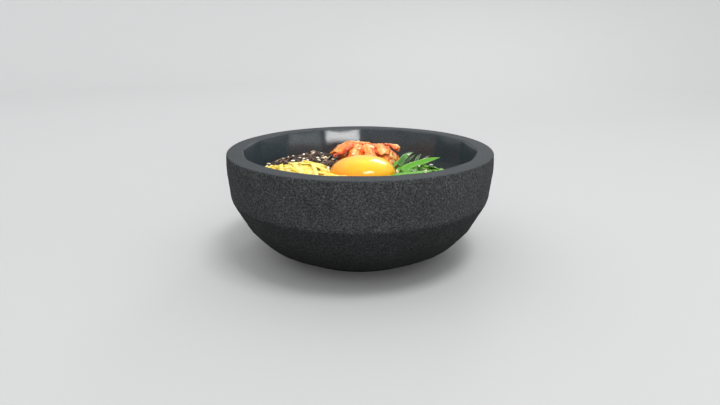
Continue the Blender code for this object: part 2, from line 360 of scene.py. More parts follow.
def fried_egg_strip():
    """Thin omelette cut in strips: pale yellow with fine set bubbles, and a few browned spots."""
    depth = (0.3, (1.0, 0.7, 0.25), 1.2 * MM)
    dull = {"Roughness": 0.5, "Specular_IOR_Level": 0.3}
    add, finish = new_material("fried_egg_strip", depth, (0.12, 0.25), **dull)
    where = add("TexCoord", out="Object")
    tint = add("Attribute", attribute_name="tint", out="Fac")
    pores = add("TexNoise", {"Vector": where, "Scale": per(0.9 * MM), "Detail": 3, "Roughness": 0.65})
    patch = add("TexNoise", {"Vector": where, "Scale": per(5 * MM), "Detail": 3})
    mixed = add("Math", {0: patch, 1: 0.6, 2: tint}, operation="MULTIPLY_ADD")
    yellows = [(0.10, "EEB42C"), (0.40, "F8CC44"), (0.75, "FFE05E"), (1, "FFEC86")]
    yellow = add("ValToRGB", {"Fac": mixed}, yellows)
    brown = add("MapRange", {"Value": patch, "From Min": 0.66, "From Max": 0.76, "To Max": 0.55})
    final = add("Mix", {SHARE: brown, ONE: yellow, OTHER: srgb("D9902E")}, data_type="RGBA")
    bump = add("Bump", {"Strength": 0.5, "Distance": 0.25 * MM, "Height": pores})
    return finish({"Base Color": final, "Normal": bump})


def browned_beef():
    """Shredded beef fried in soy: dark brown fibres with pale beige streaks, partly their own paler
    tone and partly painted sheen, under a film of oil.
    """
    add, finish = new_material("browned_beef", film=(0.15, 0.2), Specular_IOR_Level=0.3)
    names = ("along", "around", "tint")
    along, around, tint = [add("Attribute", attribute_name=name, out="Fac") for name in names]
    where = add("TexCoord", out="Object")
    grid = add("CombineXYZ", {"X": along, "Y": around, "Z": tint})
    fibre = add("Mapping", {"Vector": grid, "Scale": (3, 14, 40)})
    fibres = add("TexNoise", {"Vector": fibre, "Scale": 1, "Detail": 3, "Roughness": 0.6})
    patch = add("TexNoise", {"Vector": where, "Scale": per(2.5 * MM), "Detail": 3})
    # Pale beige streaks: partly the fibres' own paler tone and partly painted sheen
    pale_fibres_and_sheen = add("Math", {0: fibres, 1: 0.8, 2: patch}, operation="MULTIPLY_ADD")
    mixed = add("Math", {0: tint, 1: 0.5, 2: pale_fibres_and_sheen}, operation="MULTIPLY_ADD")
    level = add("Math", {0: mixed, 1: 0.67}, operation="MULTIPLY")
    browns = [(0.45, "140C0B"), (0.68, "2C1C18"), (0.84, "543A2E"), (1, "A58A70")]
    brown = add("ValToRGB", {"Fac": level}, browns)
    gloss = add("MapRange", {"Value": patch, "To Min": 0.32, "To Max": 0.62})
    bump = add("Bump", {"Strength": 0.8, "Distance": 0.25 * MM, "Height": fibres})
    return finish({"Base Color": brown, "Roughness": gloss, "Normal": bump})


def kimchi_leaf_skin():
    """Fermented cabbage leaf under chilli paste: translucent cream ribs that the paste stains
    orange, red where it pools, with flakes of chilli and a wet shine."""
    depth = (0.35, (1.0, 0.4, 0.2), 1.6 * MM)
    add, finish = new_material("kimchi_leaf_skin", depth, (0.3, 0.12), Specular_IOR_Level=0.3)
    where = add("TexCoord", out="Object")
    names = ("rib", "edge")
    rib, edge = [add("Attribute", attribute_name=name, out="Fac") for name in names]
    stain = add("TexNoise", {"Vector": where, "Scale": per(5.5 * MM), "Detail": 4, "Roughness": 0.6})
    speck = add("TexNoise", {"Vector": where, "Scale": per(1.2 * MM), "Detail": 2, "Roughness": 0.7})
    ribbed = add("Math", {0: rib, 1: 0.55, 2: stain}, operation="MULTIPLY_ADD")
    mixed = add("Math", {0: edge, 1: -0.30, 2: ribbed}, operation="MULTIPLY_ADD")
    reds = [(0.26, "B82C06"), (0.43, "E25A12"), (0.60, "F28024"), (0.80, "F8A652"), (1, "FCD290")]
    red = add("ValToRGB", {"Fac": mixed}, reds)
    flakes = add("MapRange", {"Value": speck, "From Min": 0.58, "From Max": 0.66, "To Max": 0.8})
    final = add("Mix", {SHARE: flakes, ONE: red, OTHER: srgb("B32A0C")}, data_type="RGBA")
    gloss = add("MapRange", {"Value": stain, "To Min": 0.2, "To Max": 0.5})
    bump = add("Bump", {"Strength": 0.5, "Distance": 0.35 * MM, "Height": speck})
    return finish({"Base Color": final, "Roughness": gloss, "Normal": bump})


def green_leaf():
    """Blanched green leaf: parallel veins along the blade, and pale cut edges."""
    depth = (0.2, (0.5, 1.0, 0.2), 1 * MM)
    add, finish = new_material("green_leaf", depth, (0.2, 0.15), Specular_IOR_Level=0.3)
    names = ("along", "side", "tint")
    along, side, tint = [add("Attribute", attribute_name=name, out="Fac") for name in names]
    where = add("TexCoord", out="Object")
    grid = add("CombineXYZ", {"X": along, "Y": side, "Z": tint})
    vein = add("Mapping", {"Vector": grid, "Scale": (1.5, 9, 30)})
    veins = add("TexNoise", {"Vector": vein, "Scale": 1, "Detail": 3, "Roughness": 0.6})
    patch = add("TexNoise", {"Vector": where, "Scale": per(6 * MM), "Detail": 3})
    veined = add("Math", {0: veins, 1: 0.4, 2: tint}, operation="MULTIPLY_ADD")
    mixed = add("Math", {0: patch, 1: 0.3, 2: veined}, operation="MULTIPLY_ADD")
    greens = [(0.30, "081C09"), (0.55, "143A0B"), (0.85, "32740C"), (1, "569F14")]
    green = add("ValToRGB", {"Fac": mixed}, greens)
    width = add("Math", {0: side}, operation="ABSOLUTE")
    pale = add("MapRange", {"Value": width, "From Min": 0.86, "From Max": 0.97, "To Max": 0.8})
    final = add("Mix", {SHARE: pale, ONE: green, OTHER: srgb("A9D66A")}, data_type="RGBA")
    gloss = add("MapRange", {"Value": veins, "To Min": 0.3, "To Max": 0.5})
    bump = add("Bump", {"Strength": 0.6, "Distance": 0.25 * MM, "Height": veins})
    return finish({"Base Color": final, "Roughness": gloss, "Normal": bump})


def toasted_sesame():
    """Toasted white sesame: a smooth dry hull, ivory to light tan."""
    add, finish = new_material("toasted_sesame", film=(0.2, 0.2), Roughness=0.38, IOR=1.47)
    tint = add("Attribute", attribute_name="tint", out="Fac")
    tan = add("ValToRGB", {"Fac": tint}, [(0, "EBD3A0"), (0.5, "FAF0D2"), (1, "FFFDF0")])
    return finish({"Base Color": tan})


def backdrop_paint():
    """Matt studio paint. It is a little lighter away from the softboxes' side, so that the ground
    looks even."""
    add, finish = new_material("backdrop_paint", Roughness=0.9)
    where = add("TexCoord", out="Object")
    far = add("VectorMath", {0: where, 1: (0.9, -0.6, 0)}, operation="DISTANCE", out="Value")
    share = add("MapRange", {"Value": far, "From Min": 1.3, "From Max": 3.2})
    ends = {SHARE: share, ONE: srgb("B8B8B8"), OTHER: srgb("CCCCCC")}
    return finish({"Base Color": add("Mix", ends, data_type="RGBA")})


# ---- stone bowl


def rounded(corners):
    """Points (radius, height) along a wall, with an arc of the given radius at each corner."""
    flat = [Vector((radius, BOWL_HEIGHT - drop)) for radius, drop, _ in corners]
    points = [flat[0]]
    for before, corner, after, (_, _, fillet) in zip(flat, flat[1:], flat[2:], corners[1:]):
        into = (corner - before).normalized()
        out_of = (after - corner).normalized()
        turn = into.angle(out_of)
        side = math.copysign(1, into.cross(out_of))
        reach = fillet * math.tan(turn / 2)
        centre = corner - into * reach + Vector((-into.y, into.x)) * side * fillet
        arm = corner - into * reach - centre
        steps = max(1, math.ceil(turn / FILLET_STEP))
        for step in range(steps + 1):
            angle = side * turn * step / steps
            cos, sin = math.cos(angle), math.sin(angle)
            points.append(centre + Vector((arm.x * cos - arm.y * sin, arm.x * sin + arm.y * cos)))
    points.append(flat[-1])
    return points


def respaced(points, spacing_at):
    """The same line with its points spacing_at(point) apart."""
    spaced = [points[0]]
    left = spacing_at(points[0])
    for start, end in zip(points, points[1:]):
        way = (end - start).length
        gone = 0.0
        while way - gone > left:
            gone += left
            spaced.append(start.lerp(end, gone / way))
            left = spacing_at(spaced[-1])
        left -= way - gone
    spaced[-1] = points[-1]
    return spaced


def spun(profile, steps):
    """A profile of points (radius, height) spun all the way round."""
    shape = bmesh.new()
    line = [shape.verts.new((radius, 0, height)) for radius, height in profile]
    line += [shape.edges.new(pair) for pair in zip(line, line[1:])]
    full = {"cent": (0, 0, 0), "axis": (0, 0, 1), "angle": math.tau, "use_merge": True}
    bmesh.ops.spin(shape, geom=line, steps=steps, **full)
    bmesh.ops.remove_doubles(shape, verts=shape.verts, dist=0.001 * MM)
    return outward(shape)


def wall_spacing(point):
    """Close together on the rim's edges, and closer outside than inside."""
    drop = BOWL_HEIGHT - point.y
    to_edge = min(abs(point.x - RIM_RADIUS), abs(point.x - RIM_RADIUS + RIM_WIDTH))
    if drop < 1.6 * MM and to_edge < 2 * MM:
        return EDGE_SPACING
    outside = point.x > RIM_RADIUS - RIM_WIDTH + 1 * MM or drop > FLOOR_DROP + 1 * MM
    return OUTER_SPACING if outside else INNER_SPACING


def wall_radius(heights):
    """The bowl's inner radius at each height."""
    wall = rounded(INNER_WALL)[1:]
    return np.interp(heights, [point.y for point in wall], [point.x for point in wall])


def ground_flat(points):
    """The points with the inner wall ground in broad upright flats that meet at soft corners, and
    the rim's inner edge with it."""
    points = points.copy()
    radius = np.hypot(points[:, 0], points[:, 1])
    angle = np.arctan2(points[:, 1], points[:, 0])
    middles = FIRST_CORNER + math.tau / FLATS * (np.arange(FLATS) + 0.5)
    nearness = np.exp(CORNER_SHARPNESS * (np.cos(angle[:, None] - middles) - 1))
    shape = 1 / (1 + np.log(nearness.sum(1)) / CORNER_SHARPNESS)
    shape = shape / shape.mean() - 1
    outside = radius > wall_radius(points[:, 2]) + WALL_SLACK
    drop = BOWL_HEIGHT - points[:, 2]
    across_rim = np.clip((RIM_RADIUS - 1 * MM - radius) / (RIM_WIDTH - 1 * MM), 0, 1)
    shares = [FLAT_SHARE_ON_RIM, FLAT_SHARE, FLAT_SHARE, 0]
    down_wall = np.where(outside, 0, np.interp(drop, [0, FLAT_FROM, FLAT_TO, FLOOR_DROP], shares))
    share = np.where(drop < 0.3 * MM, FLAT_SHARE_ON_RIM * across_rim, down_wall)
    points[:, :2] *= 1 + (share * shape)[:, None]
    return points


def stone_bowl(pecked, honed):
    """The bowl in one spun piece: pecked outside, ground on the rim, and honed and oiled inside."""
    profile = respaced(rounded(INNER_WALL + OUTER_WALL), wall_spacing)
    mesh = mesh_from("bowl", spun(profile, BOWL_SEGMENTS))
    points = places(mesh)
    radius = np.hypot(points[:, 0], points[:, 1])
    height = points[:, 2]
    above_floor = height > BOWL_HEIGHT - FLOOR_DROP - 1 * MM
    inside = (radius < wall_radius(height) + WALL_SLACK) & above_floor
    on_rim = np.clip((height - (BOWL_HEIGHT - RIM_EASE[0])) / RIM_EASE[1], 0, 1)
    oiled = np.where(inside, 1 - on_rim, 0)
    mark(mesh, "oil", oiled)
    put(mesh, ground_flat(points))
    off_foot = np.clip((height - FOOT_EASE[0]) / FOOT_EASE[1], 0, 1)
    picked = np.where(inside, 0, 1 - on_rim) * off_foot
    roughen(mesh, PECKING, 2.6 * MM, 1, picked)
    roughen(mesh, PECKING * 0.6, 1.7 * MM, 5, picked)
    roughen(mesh, HAND_WAVER, 30 * MM, 9, off_foot)
    roughen(mesh, HONED_WAVER, 20 * MM, 3, oiled)
    new_piece("bowl", mesh, pecked, ["stone_bowl"])
    mesh.materials.append(honed)
    smooth_side = inside | (on_rim > 0.5)
    smooth_faces = [smooth_side[list(face.vertices)].all() for face in mesh.polygons]
    mesh.polygons.foreach_set("material_index", np.array(smooth_faces, np.int32))


# ---- surfaces and paths


def one_surface(meshes, lowest=-2):
    """Meshes as one surface to look up, without the faces whose normals dip below the lowest."""
    points, faces = [], []
    for mesh in meshes:
        first = len(points)
        points += [vertex.co.copy() for vertex in mesh.vertices]
        kept = [face for face in mesh.polygons if face.normal.z > lowest]
        faces += [[first + index for index in face.vertices] for face in kept]
    return BVHTree.FromPolygons(points, faces)


def skin(*nodes):
    """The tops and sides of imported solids, as one surface."""
    return one_surface([NODES[node].data for node in nodes], -0.5)


def drop_on(surface, x, y):
    """Where a thing dropped at x, y lands and the surface's normal there, or None."""
    spot, normal, _, _ = surface.ray_cast(Vector((x, y, 2 * BOWL_HEIGHT)), Vector((0, 0, -1)))
    return (spot, normal) if spot else None


def spots(node, count, rng, lean=-0.2):
    """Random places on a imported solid's faces, evenly by area, but none that leans further over."""
    mesh = NODES[node].data
    points = [vertex.co for vertex in mesh.vertices]
    corners = np.array([[points[index] for index in face.vertices] for face in mesh.polygons])
    normals = np.array([face.normal for face in mesh.polygons])
    areas = np.array([face.area for face in mesh.polygons]) * (normals[:, 2] > lean)
    chosen = rng.choice(len(areas), count, p=areas / areas.sum())
    a, b = rng.random(count), rng.random(count)
    a, b = np.where(a + b > 1, 1 - a, a), np.where(a + b > 1, 1 - b, b)
    one, two, three = corners[chosen, 0], corners[chosen, 1], corners[chosen, 2]
    return one + (two - one) * a[:, None] + (three - one) * b[:, None]


def crawl(surface, start, heading, steps, stride, curl):
    """Walks over a surface, and returns the points passed and the normals there."""
    spot, normal, _, _ = surface.find_nearest(Vector(start))
    heading = Vector(heading)
    points, normals = [spot], [normal]
    for _ in range(steps):
        heading = heading - normal * heading.dot(normal)
        heading = Matrix.Rotation(curl, 3, normal) @ heading.normalized()
        ahead, facing, _, _ = surface.find_nearest(points[-1] + heading * stride)
        heading = ahead - points[-1]
        normal = (normal + facing).normalized()
        points.append(ahead)
        normals.append(normal)
    return points, normals


def eased(values, rounds):
    """Smooths each path, ends included."""
    for _ in range(rounds):
        padded = np.concatenate([values[:, :1], values, values[:, -1:]], axis=1)
        values = (padded[:, :-2] + 2 * padded[:, 1:-1] + padded[:, 2:]) / 4
    return values


def beside_the_yolk(points, margin):
    """Points pushed sideways out of the yolk."""
    points = points.copy()
    share = np.clip((points[..., 2] - YOLK_CENTRE.z) / YOLK_RISE, 0, 1)
    yolk = YOLK_RADIUS * np.sqrt(1 - share**2) + margin
    arm = points[..., :2] - np.array(YOLK_CENTRE[:2])
    reach = np.hypot(arm[..., 0], arm[..., 1])
    growth = np.where((reach < yolk) & (share < 1), yolk / np.maximum(reach, TINY), 1)
    points[..., :2] = np.array(YOLK_CENTRE[:2]) + arm * growth[..., None]
    return points


def inside_the_wall(points, margin):
    """Points pulled in from the stone."""
    points = points.copy()
    radius = np.hypot(points[..., 0], points[..., 1])
    limit = wall_radius(points[..., 2]) - margin
    points[..., :2] *= np.minimum(1, limit / np.maximum(radius, TINY))[..., None]
    return points


def kept_clear(points, margin, gap=0):
    """Points moved clear of the yolk, the rice and the stone, with a further gap to the stone."""
    points = points.copy()
    points[..., 2] = np.maximum(points[..., 2], GRAIN_TOP + margin)
    return inside_the_wall(beside_the_yolk(points, margin), margin + gap)


def each_own(rng, count):
    """Draws one random number between two limits for each of count things, as a column."""
    return lambda low, high: rng.uniform(low, high, (count, 1))


def ball(sides, rings, radius):
    """A closed sphere with its poles on z."""
    shape = bmesh.new()
    bmesh.ops.create_uvsphere(shape, u_segments=sides, v_segments=rings, radius=radius)
    return shape


def copies(name, template, count):
    """One mesh of count copies of a closed template, and the template's own points."""
    single = mesh_from(name, template)
    points = places(single)
    carrier = new_object(name, single)
    array = carrier.modifiers.new("copies", "ARRAY")
    array.count = count
    array.relative_offset_displace = (0, 0, 0)
    graph = bpy.context.evaluated_depsgraph_get()
    mesh = bpy.data.meshes.new_from_object(carrier.evaluated_get(graph))
    bpy.data.objects.remove(carrier)
    return mesh, points


def sweep(mesh, place, spines, ups, side, rise):
    """Puts a mesh's points at places from 0 to 1 along each spine, and so far to its side and
    above it."""
    last = spines.shape[1] - 1
    place = np.clip(place, 0, 1) * last
    low = np.minimum(place.astype(int), last - 1)
    share = (place - low)[None, :, None]

    def there(values):
        return values[:, low] * (1 - share) + values[:, low + 1] * share

    tangents = unit(np.gradient(spines, axis=1))
    across = unit(np.cross(ups, tangents))
    lift = np.cross(tangents, across)
    swept = there(spines) + there(across) * side[..., None] + there(lift) * rise[..., None]
    put(mesh, swept.reshape(-1, 3))


def rod(sides, segments):
    """A closed rod along x from 0 to 1, with half-width 1."""
    shape = bmesh.new()
    bmesh.ops.create_cone(shape, cap_ends=True, segments=sides, radius1=1, radius2=1, depth=1)
    lengthwise = [edge for edge in shape.edges if abs(edge.verts[0].co.z - edge.verts[1].co.z) > 0.5]
    bmesh.ops.subdivide_edges(shape, edges=lengthwise, cuts=segments - 1)
    upright_to_x = Matrix.Rotation(math.pi / 2, 3, "Y")
    bmesh.ops.rotate(shape, verts=shape.verts, cent=(0, 0, 0), matrix=upright_to_x)
    bmesh.ops.translate(shape, verts=shape.verts, vec=(0.5, 0, 0))
    return outward(shape)


def slab(segments, cells):
    """A closed flat slab, x from 0 to 1 in segments, y from -1 to 1 in cells, z from -1 to 1."""
    shape = bmesh.new()
    bmesh.ops.create_cube(shape, size=2)
    for axis, cuts in ((0, segments - 1), (1, cells - 1)):
        ends = [(edge, edge.verts[0].co[axis], edge.verts[1].co[axis]) for edge in shape.edges]
        long = [edge for edge, start, end in ends if abs(start - end) > 1]
        bmesh.ops.subdivide_edges(shape, edges=long, cuts=cuts, use_grid_fill=True)
    for vertex in shape.verts:
        vertex.co.x = (vertex.co.x + 1) / 2
        vertex.co.y = math.sin(vertex.co.y * math.pi / 2)
    return outward(shape)


def lay(
    node,
    rng,
    count,
    segments,
    length,
    heading,
    curl,
    lift,
    wave,
    spring,
    margin,
    gap=0,
    loose=0.2,
    easing=2,
):
    """Spines and upward directions of things that lie in a tangle over a heap. Each has a length,
    a heading and a sideways curl, and is lifted off the solid within limits, more for the last
    ones. It waves, its ends spring up, and it keeps a margin to the yolk and the stone, and a
    further gap to the stone. The loose share of them may run on over the rice."""
    heap, whole = skin(node), skin(node, "rice_bed")
    spines, ups = [], []
    for start in spots(node, count, rng):
        surface = whole if rng.random() < loose else heap
        size = rng.uniform(*length)
        way = np.array(heading(start, rng))
        foot = start - way * size / 2
        path, normals = crawl(surface, foot, way, segments, size / segments, rng.normal(0, curl))
        spines.append(path)
        ups.append(normals)
    ups = unit(eased(np.array(ups), 3))
    along = np.linspace(0, 1, segments + 1)
    swing = np.sin(rng.uniform(0, math.tau, (count, 1)) + rng.uniform(3, 8, (count, 1)) * along)
    low, high = lift
    raised = low + (high - low) * np.linspace(0, 1, count)[:, None] ** 1.5 + wave * swing
    raised = raised + spring * rng.uniform(-0.5, 1, (count, 2)) @ np.array([1 - along, along]) ** 3
    spines = eased(np.array(spines), easing) + ups * raised[..., None]
    uneven = 0.4 + 1.2 * np.modf(0.618 * np.arange(count))[0]
    return kept_clear(spines, margin, gap * uneven[:, None]), ups


def turned_by(side, rise, twist):
    """Sideways and upward distances, turned about the spine."""
    return side * np.cos(twist) - rise * np.sin(twist), side * np.sin(twist) + rise * np.cos(twist)


def mark_strands(mesh, points, tint, rng):
    """Gives each strand its tint, and its surface lengthwise and crosswise coordinates."""
    each = len(points)
    count = len(mesh.vertices) // each
    mark(mesh, "tint", np.repeat(tint, each))
    mark(mesh, "along", np.tile(points[:, 0], count) + np.repeat(9 * rng.random(count), each))
    mark(mesh, "around", np.tile(np.arctan2(points[:, 2], points[:, 1]) / math.pi, count))
    mark(mesh, "side", np.tile(points[:, 1], count))


def strands(name, template, rng, spines, ups, width, flatness, twist, ends, ridges=0):
    """Strands along spines: flat or round, twisted, narrower at the ends, and ridged lengthwise."""
    count = len(spines)
    mesh, points = copies(name, template, count)
    some = each_own(rng, count)
    along, across, face = points.T[:, None]
    around = np.arctan2(face, across)
    wide = some(*width) / 2
    deep = wide * some(*flatness)
    narrow = 1 - (1 - ends) * np.abs(2 * along - 1) ** 5
    uneven = 1 + 0.16 * np.sin(some(0, math.tau) + some(4, 11) * along)
    ridged = 1 + ridges * np.sin(3 * around + some(0, math.tau))
    size = narrow * uneven * ridged
    turn = rng.normal(0, twist, (count, 1)) + rng.normal(0, twist, (count, 1)) * (2 * along - 1)
    side, rise = turned_by(across * wide * size, face * deep * size, turn)
    sweep(mesh, points[:, 0], spines, ups, side, rise)
    mark_strands(mesh, points, rng.random(count), rng)
    return mesh


def core(food, node, inset, look, drop=0):
    """A smaller, rounder copy of a heap's solid, to lie inside it, drawn in the dark end of its
    material as painted shade for the depth seen through the gaps.
    """
    shape = bmesh.new()
    shape.from_mesh(NODES[node].data)
    bmesh.ops.remove_doubles(shape, verts=shape.verts, dist=0.01 * MM)
    every_way = {"use_axis_x": True, "use_axis_y": True, "use_axis_z": True}
    for _ in range(2):
        bmesh.ops.smooth_vert(shape, verts=shape.verts, factor=0.5, **every_way)
    bmesh.ops.subdivide_edges(shape, edges=shape.edges, cuts=1, use_grid_fill=True)
    outward(shape).normal_update()
    for vertex in shape.verts:
        vertex.co -= vertex.normal * inset
        vertex.co.z -= drop
    mesh = mesh_from(f"{food}_core", shape)
    roughen(mesh, 0.5 * MM, 4 * MM, 3)
    # Every attribute the material reads is set low, so the core shows the material's darkest tone as
    # painted shade
    for reader in look.node_tree.nodes:
        if reader.type == "ATTRIBUTE":
            mark(mesh, reader.attribute_name, np.full(len(mesh.vertices), PAINTED_SHADE_MARK))
    new_piece(f"{food}_core", mesh, look, [node])


def centreline(node, segments):
    """Points down the middle of a long flat solid, its upward directions and its half sizes.
    The line starts near the yolk. It follows seven slices between the solid's ends, and runs on
    straight past the last of them."""
    points = np.array([vertex.co for vertex in NODES[node].data.vertices])
    centre = (points.max(0) + points.min(0)) / 2
    _, axes = np.linalg.eigh(np.cov((points - points.mean(0)).T))
    along, up = axes[:, 2], axes[:, 0]
    up = up * math.copysign(1, up[2])
    along = along * math.copysign(1, along @ (centre - np.array(YOLK_CENTRE)))
    axes = np.array([along, np.cross(up, along), up])
    arms = (points - centre) @ axes.T
    centre = centre + (arms.max(0) + arms.min(0)) / 2 @ axes
    half = (arms.max(0) - arms.min(0)) / 2
    where = (points - centre) @ along
    sliced = 0.86 * half[0]
    slices = np.linspace(-1, 1, 7)
    middles = []
    for reach in slices * sliced:
        weight = np.exp(-(((where - reach) / (0.16 * half[0])) ** 2))
        middle = (points * weight[:, None]).sum(0) / weight.sum()
        middles.append(middle + along * (reach - (middle - centre) @ along))
    stations = np.linspace(-half[0], half[0], segments + 1) / sliced
    curve = np.array([np.interp(stations, slices, line) for line in np.array(middles).T]).T
    beyond = np.clip(np.abs(stations) - 1, 0, None) * np.sign(stations)
    curve += beyond[:, None] * along * sliced
    return eased(curve[None], 1)[0], np.tile(up, (segments + 1, 1)), half


# ---- rice and yolk


def bare_places(rng, reach, pitch):
    """Places (x, y, layer) for two layers of grains, out to a reach, wherever no heap covers them
    all round and the yolk doesn't hide them."""
    heaps = skin("seasoned_beef", "omelette_strips", "kimchi_heap", "greens")
    row_step = 0.87
    rows = math.ceil(reach / (row_step * pitch))
    hidden = YOLK_RADIUS - 6.5 * MM
    sides = ((pitch, 0), (-pitch, 0), (0, pitch), (0, -pitch))
    found = []
    both_ways = range(-rows, rows + 1)
    for row, column, layer in itertools.product(both_ways, both_ways, range(2)):
        x = (column + 0.5 * (row % 2) + rng.uniform(-0.5, 0.5)) * pitch
        y = (row * row_step + rng.uniform(-0.5, 0.5)) * pitch
        under_yolk = math.hypot(x - YOLK_CENTRE.x, y - YOLK_CENTRE.y) < hidden
        if math.hypot(x, y) > reach or under_yolk:
            continue
        if not all(drop_on(heaps, x + dx, y + dy) for dx, dy in sides):
            found.append((x, y, layer))
    return found


def rice(material):
    """The bed's core, and steamed grains over it wherever the toppings leave it bare."""
    rng = np.random.default_rng(11)
    shape = bmesh.new()
    round_faces = {"cap_ends": True, "cap_tris": True, "segments": 96}
    bmesh.ops.create_cone(shape, radius1=1, radius2=1, depth=1, **round_faces)
    top_radius = wall_radius(RICE_TOP - GRAIN_DEPTH) - 0.2 * MM
    foot_radius, foot_depth = top_radius - 9 * MM, 14 * MM
    for vertex in shape.verts:
        top = vertex.co.z > 0
        vertex.co.xy *= top_radius if top else foot_radius
        vertex.co.z = RICE_TOP - (GRAIN_DEPTH if top else foot_depth)
    mesh = mesh_from("rice_core", shape)
    # The rice core is drawn in the darker end of the rice's whites, as painted shade between the
    # grains
    mark(mesh, "tint", np.full(len(mesh.vertices), PAINTED_SHADE_MARK))
    new_piece("rice_core", mesh, material, ["rice_bed"])

    found = bare_places(rng, wall_radius(RICE_TOP) - 1.2 * MM, 2.5 * MM)
    count = len(found)
    mesh, points = copies("rice_grains", ball(8, 6, 0.5), count)
    points = points[:, [2, 0, 1]]
    points[:, 2] += 0.4 * points[:, 0] ** 2
    sizes = GRAIN_SIZE * rng.uniform(0.86, 1.1, (count, 1))
    turns = rng.uniform(0, math.tau, count)
    tilts = rng.normal(0, 0.28, count)
    rolls = rng.uniform(0, math.tau, count)
    moved = []
    for (x, y, layer), size, turn, tilt, roll in zip(found, sizes, turns, tilts, rolls):
        flat = Matrix.Rotation(turn, 3, "Z") @ Matrix.Rotation(tilt, 3, "Y")
        turned = np.array(flat @ Matrix.Rotation(roll, 3, "X"))
        dip = 0.8 * MM * rough((x, y, 0), 11 * MM, 4)
        z = RICE_TOP - GRAIN_DEPTH + (0.7 + 1.25 * layer) * MM + dip
        grain = points * size @ turned.T + np.array((x, y, z))
        into_stone = np.hypot(grain[:, 0], grain[:, 1]) - wall_radius(grain[:, 2])
        grain[:, :2] *= 1 - max(0, into_stone.max()) / math.hypot(x, y)
        moved.append(grain)
    put(mesh, np.concatenate(moved))
    mark(mesh, "tint", np.repeat(rng.uniform(0.2, 0.85, count), len(points)))
    new_piece("rice_grains", mesh, material, ["rice_bed"])


def egg_yolk(material):
    """A low dome over a shallower underside, slightly uneven under its skin."""
    shape = ball(128, 80, 1)
    for vertex in shape.verts:
        x, y, z = vertex.co
        flat = abs(z) ** 0.94 * math.copysign(1, z)
        rise = YOLK_RISE if z > 0 else YOLK_SINK
        vertex.co = YOLK_CENTRE + Vector((YOLK_RADIUS * x, YOLK_RADIUS * y, rise * flat))
    mesh = mesh_from("yolk", shape)
    roughen(mesh, 0.25 * MM, 14 * MM, 2)
    new_piece("yolk", mesh, material, ["egg_yolk"])


# ---- toppings


def from_the_yolk(spread, turn=0.0):
    """Headings at a turn from the way out from the yolk, give or take a spread in radians."""

    def heading(start, rng):
        arm = Vector(start[:2]) - YOLK_CENTRE.xy
        angle = math.atan2(arm.y, arm.x) + turn + rng.normal(0, spread)
        return (math.cos(angle), math.sin(angle), 0)

    return heading


def any_way(_, rng):
    angle = rng.uniform(0, math.tau)
    return (math.cos(angle), math.sin(angle), 0)


def shreds(food, node, seed, inset, template, tangle, build, relief, material):
    """A heap of shreds round its core. The tangle is for lay, the build for strands, and the
    relief is how much their skin is roughened, and at what size."""
    rng = np.random.default_rng(seed)
    core(food, node, inset, material)
    spines, ups = lay(node, rng, **tangle)
    mesh = strands(f"{food}_shreds", template, rng, spines, ups, **build)
    roughen(mesh, *relief, 6)
    new_piece(f"{food}_shreds", mesh, material, [node])


def omelette(material):
    """Flat strips in rings round the yolk."""
    tangle = {"count": 310, "segments": 13, "length": (24 * MM, 50 * MM), "curl": 0.05, "easing": 3}
    tangle |= {"heading": from_the_yolk(0.6, math.pi / 2), "margin": 0.6 * MM, "gap": 6 * MM}
    tangle |= {"lift": (-2.6 * MM, 0.2 * MM), "wave": 0.15 * MM, "spring": 2 * MM}
    build = {"width": (1.7 * MM, 3.1 * MM), "flatness": (0.28, 0.38), "twist": 0.1, "ends": 0.85}
    relief = (0.12 * MM, 2.2 * MM)
    shreds("omelette", "omelette_strips", 21, 3.4 * MM, slab(13, 2), tangle, build, relief, material)


def beef(material):
    """Short uneven fibres lying every way."""
    tangle = {"count": 720, "segments": 8, "length": (8 * MM, 24 * MM), "heading": any_way}
    tangle |= {"curl": 0.16, "lift": (-2.2 * MM, 0.2 * MM), "wave": 0.6 * MM, "spring": 1.6 * MM}
    tangle |= {"margin": 0.6 * MM}
    build = {"width": (0.8 * MM, 2.1 * MM), "flatness": (0.45, 0.9), "twist": 0.7, "ends": 0.3}
    build |= {"ridges": 0.18}
    relief = (0.22 * MM, 1.3 * MM)
    shreds("beef", "seasoned_beef", 31, 2.4 * MM, rod(7, 8), tangle, build, relief, material)


